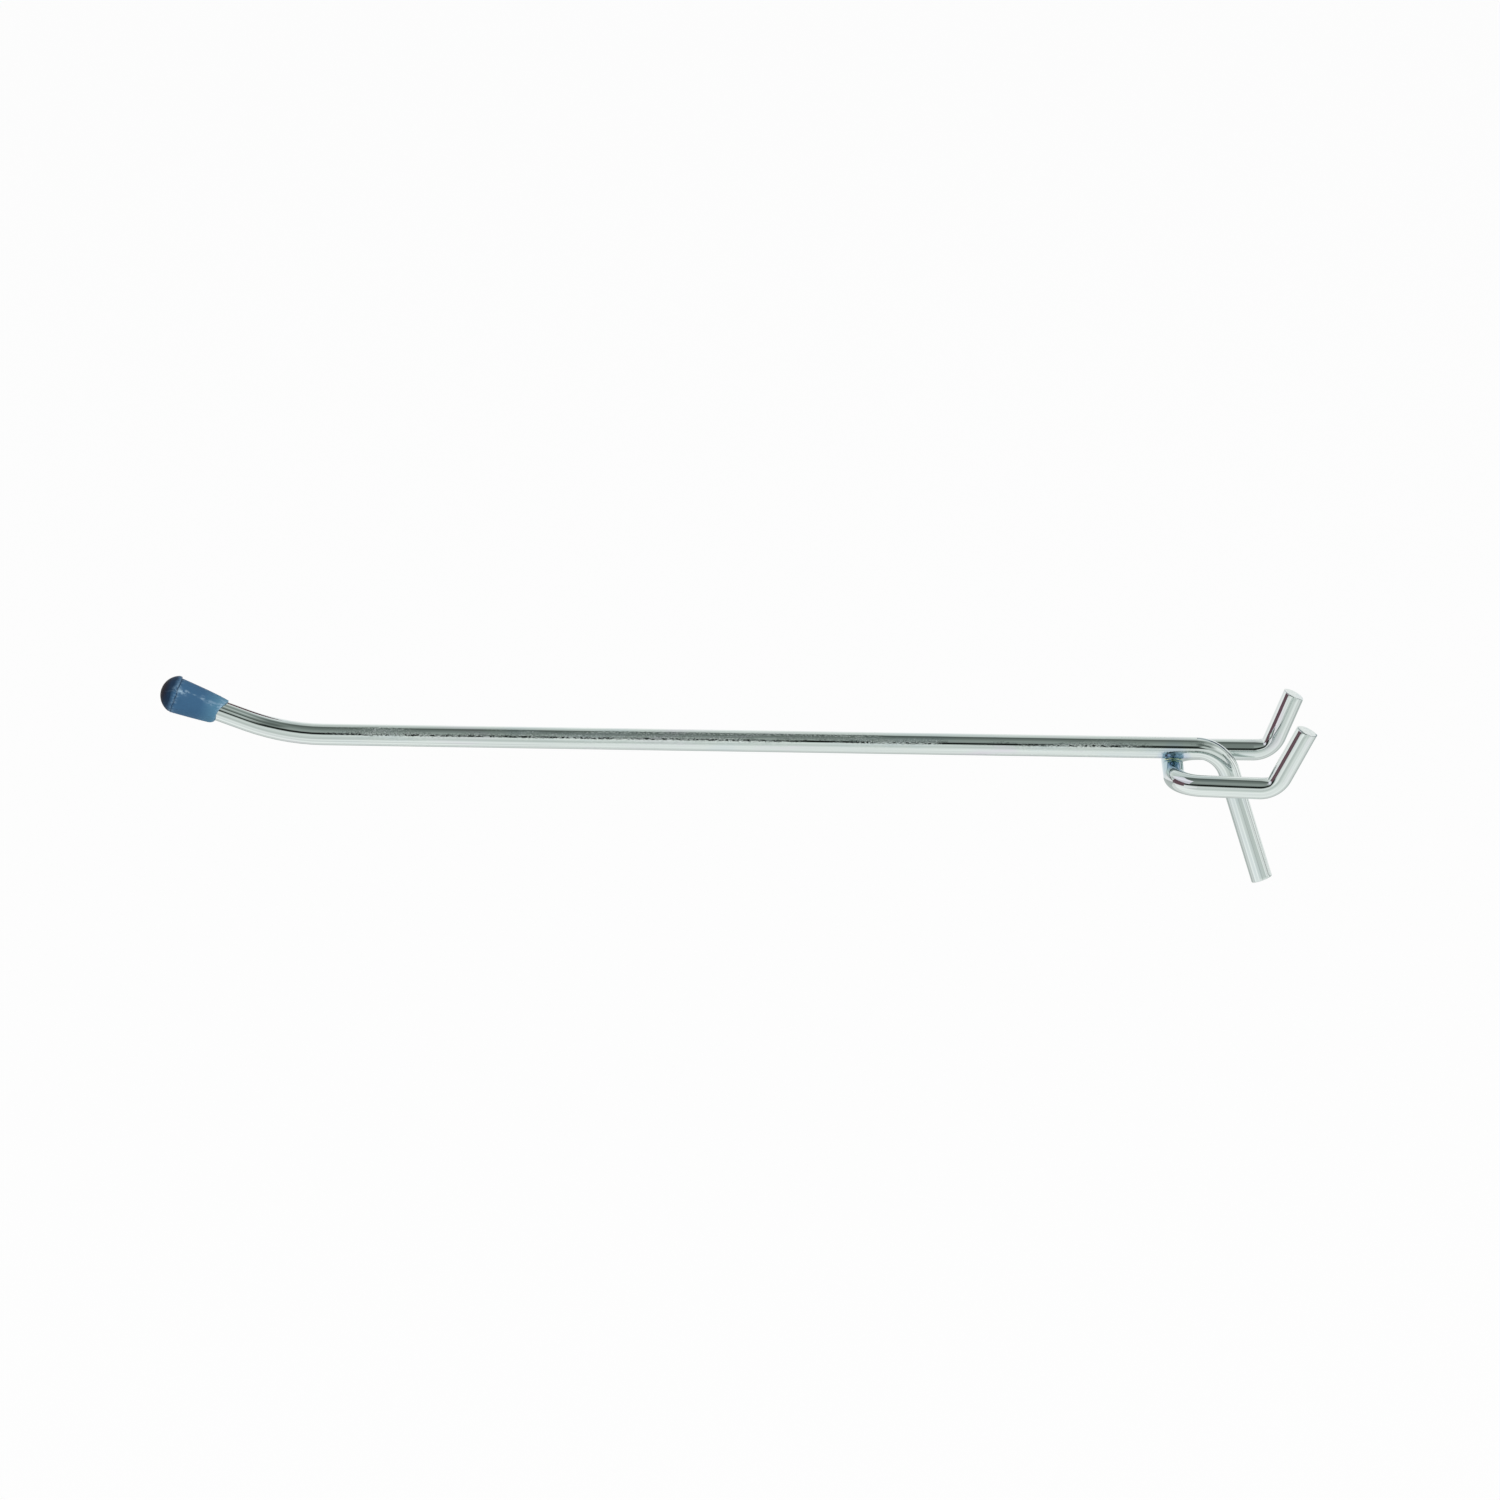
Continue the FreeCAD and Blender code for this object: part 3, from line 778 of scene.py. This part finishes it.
class Nodes:
    """Short calls for building a node tree."""

    def __init__(self, tree):
        self.tree = tree

    @classmethod
    def of_material(cls, name, keep_shader=True):
        material = bpy.data.materials.new(name)
        material.use_nodes = True
        nodes = cls(material.node_tree)
        nodes.material = material
        nodes.output = material.node_tree.nodes["Material Output"]
        nodes.shader = material.node_tree.nodes["Principled BSDF"]
        if not keep_shader:
            material.node_tree.nodes.remove(nodes.shader)
        return nodes

    def add(self, kind, inputs=None, **settings):
        node = self.tree.nodes.new(kind)
        for key, setting in settings.items():
            setattr(node, key, setting)
        for key, source in (inputs or {}).items():
            self.feed(node.inputs[key], source)
        return node

    def feed(self, socket, source):
        if isinstance(source, bpy.types.NodeSocket):
            self.tree.links.new(source, socket)
        else:
            socket.default_value = source

    def attribute(self, name, output):
        return self.add("ShaderNodeAttribute", attribute_name=name).outputs[output]

    def parts(self, vector):
        """The X, Y and Z of a vector."""
        return self.add("ShaderNodeSeparateXYZ", {"Vector": vector}).outputs

    def noise(self, vector, scale, detail=NOISE_DETAIL, roughness=NOISE_ROUGHNESS):
        inputs = {"Vector": vector, "Scale": scale, "Detail": detail, "Roughness": roughness}
        return self.add("ShaderNodeTexNoise", inputs).outputs["Fac"]

    def pattern(self, vector, along, across, detail, roughness=NOISE_ROUGHNESS):
        """A random pattern that repeats at one rate along the wire and at another across it."""
        inputs = {"Vector": vector, "Scale": (along, across, across)}
        stretched = self.add("ShaderNodeMapping", inputs).outputs["Vector"]
        return self.noise(stretched, 1.0, detail, roughness)

    def spread(self, factor, low, high, out_low=0.0, out_high=1.0):
        """A factor moved from one range to another, and held within that."""
        inputs = {"Value": factor, "From Min": low, "From Max": high,
                  "To Min": out_low, "To Max": out_high}
        return self.add("ShaderNodeMapRange", inputs).outputs["Result"]

    def blend(self, factor, first, second):
        node = self.add("ShaderNodeMix", {0: factor}, data_type="RGBA")
        colours = [item for item in node.inputs if item.type == "RGBA"]
        self.feed(colours[0], first)
        self.feed(colours[1], second)
        return next(item for item in node.outputs if item.type == "RGBA")

    def over(self, colour, pattern, shows, layer):
        """A colour with a layer of another over it wherever the pattern shows."""
        return self.blend(self.spread(pattern, *shows), colour, layer)

    def reckon(self, operation, first, second):
        inputs = {0: first, 1: second}
        return self.add("ShaderNodeMath", inputs, operation=operation).outputs["Value"]

    def measure(self, operation, first, second):
        """What a vector operation makes of two vectors, as one number."""
        inputs = {0: first, 1: second}
        return self.add("ShaderNodeVectorMath", inputs, operation=operation).outputs["Value"]

    def times(self, first, second):
        return self.reckon("MULTIPLY", first, second)

    def seen(self):
        """1 for what the camera, a reflection or glass shows, and 0 for light that falls on things."""
        path = self.add("ShaderNodeLightPath").outputs
        shown = self.reckon("MAXIMUM", path["Is Camera Ray"], path["Is Glossy Ray"])
        return self.reckon("MAXIMUM", shown, path["Is Transmission Ray"])

    def ramp(self, angle, stops):
        """A grey for each angle, even between the stops, and slightly green where it is dark."""
        first, last = stops[0][0], stops[-1][0]
        share = self.spread(angle, math.radians(first), math.radians(last))
        node = self.add("ShaderNodeValToRGB", {"Fac": share})
        elements = node.color_ramp.elements
        for degrees, _ in stops[1:-1]:
            elements.new((degrees - first) / (last - first))
        for element, (_, level) in zip(elements, stops):
            element.color = [level * (tint + (1 - tint) * level) for tint in GREY_TINT] + [1]
        return node.outputs["Color"]

    def bump(self, height, strength, distance, normal=None):
        inputs = {"Height": height, "Strength": strength, "Distance": distance * MM}
        if normal:
            inputs["Normal"] = normal
        return self.add("ShaderNodeBump", inputs).outputs["Normal"]

    def glowing(self, colour):
        """Makes the material glow in a colour, and returns it."""
        glow = self.add("ShaderNodeEmission", {"Color": colour}).outputs["Emission"]
        self.feed(self.output.inputs["Surface"], glow)
        return self.material


def zinc_material(name, tint, strength, fade, frosted):
    """Bright zinc plating over drawn wire, with a tint by the weld (on the prong a painted reflection of
    the crossbar), and frosted or not.
    """
    nodes = Nodes.of_material(name)
    wire = nodes.attribute("wire_space", "Vector")
    lines = nodes.pattern(wire, **DRAWING_LINES)
    colour = nodes.blend(near_weld(nodes, strength, fade), zinc_colour(nodes, wire, lines), tint)
    roughness = ZINC_ROUGHNESS
    normal = nodes.bump(lines, LINE_STRENGTH, LINE_DEPTH)
    if frosted:
        crystals = frost(nodes, wire)
        roughness = nodes.spread(crystals, 0.0, 1.0, ZINC_ROUGHNESS, FROST_ROUGHNESS)
        normal = nodes.bump(crystals, 1.0, FROST_HEIGHT, normal)
    nodes.feed(nodes.shader.inputs["Base Color"], colour)
    nodes.feed(nodes.shader.inputs["Metallic"], 1.0)
    nodes.feed(nodes.shader.inputs["Roughness"], roughness)
    nodes.feed(nodes.shader.inputs["Normal"], normal)
    return nodes.material


def zinc_colour(nodes, wire, lines):
    """The plating's colour: drawing lines, films of faint colour, and painted highlight and painted dark
    reflection streaks along the wire.
    """
    film = nodes.pattern(wire, **FILM)
    marks = nodes.pattern(wire, **PAINTED_STREAKS)
    colour = nodes.over(ZINC_DULL, lines, LINES_SHOW, ZINC_BRIGHT)
    colour = nodes.over(colour, film, BLUE_FILM_SHOWS, FILM_BLUE)
    colour = nodes.over(colour, film, LILAC_FILM_SHOWS, FILM_LILAC)
    # Painted dark reflection streaks and painted highlight streaks
    colour = nodes.over(colour, marks, DARK_STREAKS_SHOW, ZINC_PAINTED_DARK_STREAK)
    return nodes.over(colour, marks, HIGHLIGHT_STREAKS_SHOW, ZINC_PAINTED_HIGHLIGHT)


def near_weld(nodes, strength, fade):
    """How strongly the tint near the weld shows on the zinc, by the distance from the weld."""
    place = nodes.add("ShaderNodeTexCoord").outputs["Object"]
    crossing = Vector((-LEG_REACH, 0, PRONG_HEIGHT / 2)) * MM
    distance = nodes.measure("DISTANCE", place, crossing)
    far, near = fade
    return nodes.spread(distance, far * MM, near * MM, 0.0, strength)


def frost(nodes, wire):
    """Where the zinc is frosted with fine crystals, in patches along the straight prong."""
    crystals = nodes.spread(nodes.pattern(wire, **CRYSTALS), *CRYSTALS_SHOW)
    patches = nodes.spread(nodes.pattern(wire, **FROST_PATCHES), *PATCHES_SHOW)
    along = nodes.parts(wire)["X"]
    straight = nodes.times(nodes.spread(along, *FROST_START), nodes.spread(along, *FROST_END))
    facing = nodes.measure("DOT_PRODUCT", wire, turned(Y, X, FROST_TURN) / WIRE_RADIUS)
    on_side = nodes.spread(facing, *FROST_SIDE)
    return nodes.times(nodes.times(crystals, patches), nodes.times(straight, on_side))


def weld_material():
    """Weld metal under the plating: lumpy and stained, with a painted straw-coloured highlight line
    round it.
    """
    nodes = Nodes.of_material("weld_metal")
    place = nodes.add("ShaderNodeTexCoord").outputs["Object"]
    stains = nodes.noise(place, WELD_STAINS)
    share = nodes.parts(nodes.attribute("weld_space", "Vector"))["Z"]
    highlight_line = nodes.times(nodes.spread(share, *HIGHLIGHT_LINE_LOWER), nodes.spread(share, *HIGHLIGHT_LINE_UPPER))
    colour = nodes.over(WELD_DARK, stains, WELD_STAINS_SHOW, WELD_TEAL)
    # Painted highlight: a straw-coloured line round the weld's middle
    colour = nodes.blend(highlight_line, colour, WELD_PAINTED_HIGHLIGHT)
    bumps = nodes.bump(nodes.noise(place, WELD_BUMPS), WELD_BUMP_STRENGTH, WELD_BUMP_DEPTH)
    nodes.feed(nodes.shader.inputs["Base Color"], colour)
    nodes.feed(nodes.shader.inputs["Metallic"], 1.0)
    nodes.feed(nodes.shader.inputs["Roughness"], nodes.spread(stains, *WELD_ROUGHNESS))
    nodes.feed(nodes.shader.inputs["Normal"], bumps)
    return nodes.material


def plastic_material():
    """Satin blue plastic: darker towards the crown, partly from thick plastic and partly as painted
    shade where the dome faces away from the light, and paler where it lies thin on the wire.
    """
    nodes = Nodes.of_material("blue_plastic")
    cap = nodes.attribute("cap_space", "Vector")
    clouds = nodes.pattern(cap, **CLOUDS)
    specks = nodes.pattern(cap, **SPECKS)
    drifting = nodes.reckon("ADD", nodes.parts(cap)["X"], nodes.spread(clouds, *CLOUD_DRIFT))
    # Painted shade, with the thick plastic's own darkness, towards the crown
    colour = nodes.over(CAP_SHADED_BLACK, drifting, NAVY_FROM, CAP_SHADED_NAVY)
    colour = nodes.over(colour, drifting, BLUE_FROM, CAP_BLUE)
    colour = nodes.over(colour, drifting, TEAL_FROM, CAP_TEAL)
    scratches = nodes.spread(nodes.pattern(cap, **SCRATCHES), *SCRATCHES_SHOW)
    colour = nodes.blend(nodes.times(scratches, nodes.attribute("wear", "Fac")), colour, CAP_SCUFF)
    # Painted shade in the seam's groove
    colour = nodes.blend(nodes.attribute("painted_groove_shade", "Fac"), colour, CAP_GROOVE_SHADE)
    nodes.feed(nodes.shader.inputs["Base Color"], colour)
    nodes.feed(nodes.shader.inputs["Roughness"], nodes.spread(specks, *CAP_ROUGHNESS))
    normal = nodes.bump(nodes.pattern(cap, **DUST), DUST_STRENGTH, DUST_DEPTH)
    normal = nodes.bump(clouds, CLOUD_STRENGTH, CLOUD_DEPTH, normal)
    nodes.feed(nodes.shader.inputs["Normal"], normal)
    nodes.feed(nodes.shader.inputs["Specular IOR Level"], CAP_SPECULAR)
    return nodes.material


def dress(piece, node, material):
    """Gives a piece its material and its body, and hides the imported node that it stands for."""
    piece.data.materials.append(material)
    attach(piece, "root")
    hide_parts(node)


# The stage

def stage_material(name, colour, glow):
    """A plain pale surface that the camera and reflections see lifted towards white."""
    nodes = Nodes.of_material(name, keep_shader=False)
    diffuse = nodes.add("ShaderNodeBsdfDiffuse", {"Color": colour}).outputs["BSDF"]
    white = nodes.add("ShaderNodeEmission", {"Strength": 1.0}).outputs["Emission"]
    inputs = {0: nodes.times(nodes.seen(), glow), 1: diffuse, 2: white}
    mixed = nodes.add("ShaderNodeMixShader", inputs).outputs["Shader"]
    nodes.feed(nodes.output.inputs["Surface"], mixed)
    return nodes.material


def glow_by_angle(name, levels, turns=()):
    """A glow whose brightness follows the angle from straight up, positive towards the camera.

    Where more levels are given, they take over one after the other towards the right.
    """
    nodes = Nodes.of_material(name, keep_shader=False)
    place = nodes.add("ShaderNodeTexCoord").outputs["Object"]
    parts = nodes.parts(place)
    angle = nodes.reckon("ARCTAN2", nodes.times(parts["Y"], -1.0), parts["Z"])
    colour = nodes.ramp(angle, levels[0])
    for stops, turn in zip(levels[1:], turns):
        rightward = nodes.spread(nodes.reckon("DIVIDE", parts["X"], parts["Z"]), *turn)
        colour = nodes.blend(rightward, colour, nodes.ramp(angle, stops))
    return nodes.glowing(colour)


def plain_glow(name, colour):
    return Nodes.of_material(name, keep_shader=False).glowing(colour)


def arc_profile(radius, first, last):
    """Points (y, z) round the hook between two angles from straight up."""
    points = []
    for step in range(CARD_STEPS + 1):
        angle = math.radians(first + (last - first) * step / CARD_STEPS)
        points.append((-radius * math.sin(angle), radius * math.cos(angle)))
    return points


def along_hook(profile, ends):
    """Pairs of points for a sheet that runs along the hook, bent in the profile's shape."""
    return [Vector((x, y, z)) for y, z in profile for x in ends]


def make_sheet(name, pairs, material):
    """A sheet of squares between pairs of points."""
    rows = len(pairs) // 2 - 1
    faces = [(2 * row, 2 * row + 1, 2 * row + 3, 2 * row + 2) for row in range(rows)]
    mesh = bpy.data.meshes.new(name)
    mesh.from_pydata([spot * MM for spot in pairs], [], faces)
    mesh.materials.append(material)
    sheet = bpy.data.objects.new(name, mesh)
    bpy.context.scene.collection.objects.link(sheet)
    return sheet


def sweep_profile():
    """The section of the floor and the backdrop, from the front to the top: (y, z)."""
    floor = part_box("prong_wire")[0].z / MM - FLOOR_DROP
    profile = [(SWEEP_FRONT, floor)]
    for step in range(SWEEP_CURVE_STEPS + 1):
        angle = math.pi / 2 * step / SWEEP_CURVE_STEPS
        height = floor + SWEEP_CURVE * (1 - math.cos(angle))
        profile.append((SWEEP_BACK + SWEEP_CURVE * math.sin(angle), height))
    profile.append((SWEEP_BACK + SWEEP_CURVE, floor + SWEEP_TOP))
    return profile


def make_sweep():
    """A floor that curves up into a backdrop, in one sheet."""
    ends = (CAMERA_TARGET.x - SWEEP_WIDTH / 2, CAMERA_TARGET.x + SWEEP_WIDTH / 2)
    white = stage_material("studio_white", SWEEP_COLOUR, SWEEP_GLOW)
    sweep = make_sheet("studio_sweep", along_hook(sweep_profile(), ends), white)
    sweep.data.shade_smooth()


def make_card(name, pairs, material):
    """A sheet that only reflections show: it isn't seen, and it neither lights nor shades."""
    card = make_sheet(name, pairs, material)
    card.visible_camera = False
    card.visible_diffuse = False
    card.visible_shadow = False
    card.visible_transmission = False


def make_long_card(name, profile, ends, material):
    make_card(name, along_hook(profile, ends), material)


def make_upright_card(name, place, colour):
    """A card bent about the Z axis round the hook, between two azimuths and two elevations."""
    first, last, low, high = place
    pairs = []
    for step in range(CARD_STEPS + 1):
        angle = math.radians(first + (last - first) * step / CARD_STEPS)
        for elevation in (low, high):
            z = UPRIGHT_RADIUS * math.tan(math.radians(elevation))
            pairs.append(Vector((UPRIGHT_RADIUS * math.cos(angle), UPRIGHT_RADIUS * math.sin(angle), z)))
    make_card(name, pairs, plain_glow(name + "_glow", colour))


def make_world():
    """White to the camera and in reflections, and a plain soft light on everything."""
    world = bpy.data.worlds.new("studio")
    world.use_nodes = True
    bpy.context.scene.world = world
    nodes = Nodes(world.node_tree)
    background = world.node_tree.nodes["Background"]
    nodes.feed(background.inputs["Color"], (1, 1, 1, 1))
    nodes.feed(background.inputs["Strength"], nodes.spread(nodes.seen(), 0.0, 1.0, WORLD_LIGHT, 1.0))


def add_lamp(name, place, size, watts):
    """A round soft lamp that lights the hook but doesn't show in it."""
    data = bpy.data.lights.new(name, "AREA")
    data.shape = "DISK"
    data.size = size * MM
    data.energy = watts
    lamp = bpy.data.objects.new(name, data)
    lamp.location = Vector(place) * MM
    aim = Vector(LAMP_AIM) * MM - lamp.location
    lamp.rotation_euler = aim.to_track_quat("-Z", "Y").to_euler()
    bpy.context.scene.collection.objects.link(lamp)
    lamp.visible_glossy = False


def make_camera():
    """The camera of the photograph."""
    azimuth = math.radians(CAMERA_AZIMUTH)
    elevation = math.radians(CAMERA_ELEVATION)
    roll = math.radians(CAMERA_ROLL)
    back = Vector((
        math.sin(azimuth) * math.cos(elevation),
        -math.cos(azimuth) * math.cos(elevation),
        math.sin(elevation),
    ))
    level_right = Vector((math.cos(azimuth), math.sin(azimuth), 0))
    level_up = back.cross(level_right)
    right = level_right * math.cos(roll) + level_up * math.sin(roll)
    up = level_up * math.cos(roll) - level_right * math.sin(roll)
    data = bpy.data.cameras.new("photo_camera")
    data.sensor_width = CAMERA_SENSOR
    data.lens = PHOTO_SCALE * CAMERA_DISTANCE / PHOTO_WIDTH * CAMERA_SENSOR
    data.clip_start, data.clip_end = CAMERA_RANGE
    camera = bpy.data.objects.new("photo_camera", data)
    turn = Matrix((right, up, back)).transposed().to_4x4()
    camera.matrix_world = Matrix.Translation((CAMERA_TARGET + back * CAMERA_DISTANCE) * MM) @ turn
    bpy.context.scene.collection.objects.link(camera)
    bpy.context.scene.camera = camera


def make_ceiling():
    """The arched ceiling card, and the strips that hang before it behind the hook."""
    ceiling = glow_by_angle("ceiling_grey", CEILING_LEVELS, CEILING_TURNS)
    arch = arc_profile(CEILING_RADIUS, OVER_WIRES[0][0], OVER_WIRES[-1][0])
    make_long_card("ceiling_card", arch, (-CEILING_LENGTH / 2, CEILING_LENGTH / 2), ceiling)
    strip = arc_profile(STRIP_RADIUS, *STRIP_ANGLES)
    red = plain_glow("strip_red", RED_STRIP_COLOUR)
    blue = plain_glow("strip_blue", BLUE_STRIP_COLOUR)
    pale = plain_glow("strip_pale", NEAR_STRIP_COLOUR)
    make_long_card("red_strip", strip, RED_STRIP_ENDS, red)
    make_long_card("blue_strip", strip, BLUE_STRIP_ENDS, blue)
    make_long_card("near_strip", arc_profile(NEAR_STRIP_RADIUS, *STRIP_ANGLES), NEAR_STRIP_ENDS, pale)


def make_floor_cards():
    """The cards before, under and behind the hook."""
    front = glow_by_angle("front_grey", [FRONT_LEVELS])
    under = plain_glow("under_grey", UNDER_COLOUR)
    behind = plain_glow("behind_grey", BEHIND_COLOUR)
    make_long_card("front_card", FRONT_PROFILE, FRONT_ENDS, front)
    make_long_card("under_card", UNDER_PROFILE, FLOOR_CARD_ENDS, under)
    make_long_card("behind_card", BEHIND_PROFILE, FLOOR_CARD_ENDS, behind)


def make_stage():
    """The studio: the sweep, the lights, the cards and the camera."""
    make_sweep()
    make_world()
    add_lamp("left_lamp", *LEFT_LAMP)
    add_lamp("right_lamp", *RIGHT_LAMP)
    make_ceiling()
    make_floor_cards()
    make_upright_card("left_card", LEFT_CARD, LEFT_CARD_COLOUR)
    make_upright_card("lilac_card", LILAC_CARD, LILAC_CARD_COLOUR)
    make_upright_card("right_card", RIGHT_CARD, EDGE_CARD_COLOUR)
    make_upright_card("rear_card", REAR_CARD, EDGE_CARD_COLOUR)
    make_camera()
    bpy.context.scene.view_settings.view_transform = "Standard"


def main():
    prong_zinc = zinc_material("prong_zinc", **PRONG_FINISH)
    staple_zinc = zinc_material("staple_zinc", **STAPLE_FINISH)
    dress(make_prong(), "prong_wire", prong_zinc)
    dress(make_staple(), "peg_staple", staple_zinc)
    dress(make_weld(), "weld_bead", weld_material())
    dress(make_cap(), "tip_cap", plastic_material())
    make_stage()


main()
